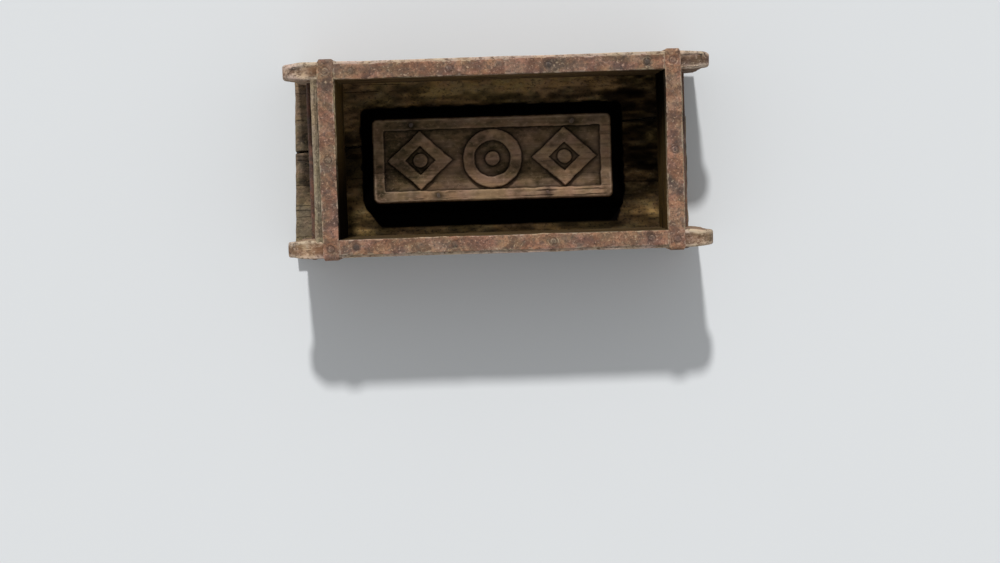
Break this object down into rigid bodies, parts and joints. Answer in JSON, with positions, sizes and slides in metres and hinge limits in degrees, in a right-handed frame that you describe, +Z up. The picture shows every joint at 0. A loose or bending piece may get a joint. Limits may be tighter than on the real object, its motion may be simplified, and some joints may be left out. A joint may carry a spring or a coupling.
{
  "type": "brick mould",
  "caption": "Open wooden box for moulding bricks, with a raised carved frog block on its floor, ear handles, hoop-iron bands and strips round the rim, and tie rods across the ends.",
  "frame": {"origin": "on the underside of the base, below the middle of the brick cavity", "axes": "+X along the mould to the right, +Y across it to the rear, +Z up out of the open face"},
  "size_m": [0.3311, 0.1568, 0.0978],
  "materials": {
    "base_wood": "dark weathered hardwood, rough",
    "side_wood": "worn reddish-brown hardwood, pale where rubbed",
    "end_wood": "worn grey-brown hardwood",
    "frog_wood": "carved hardwood, rubbed face and blackened flanks",
    "hoop_iron": "dry brown rust on hammered strip, matt",
    "rod_iron": "dry brown rust, matt",
    "nail_iron": "dark rust with rubbed crowns"
  },
  "bodies": {
    "root": {"base_plank_front": "base_wood", "base_plank_rear": "base_wood", "side_board_front": "side_wood", "side_board_rear": "side_wood", "end_board_left": "end_wood", "end_board_right": "end_wood", "frog_block": "frog_wood", "rim_strip_front": "hoop_iron", "rim_strip_rear": "hoop_iron", "band_left": "hoop_iron", "band_right": "hoop_iron", "tie_rod_left": "rod_iron", "tie_rod_right": "rod_iron", "rod_plate_left_front": "rod_iron", "rod_plate_left_rear": "rod_iron", "rod_plate_right_front": "rod_iron", "rod_plate_right_rear": "rod_iron", "rim_strip_nails_front": "nail_iron", "rim_strip_nails_rear": "nail_iron", "band_rim_nails_left": "nail_iron", "band_rim_nails_right": "nail_iron", "band_leg_nails_left": "nail_iron", "band_leg_nails_right": "nail_iron", "frog_nails": "nail_iron", "base_nails_front": "nail_iron", "base_nails_rear": "nail_iron", "base_nails_left": "nail_iron", "base_nails_right": "nail_iron"}
  },
  "joints": []
}
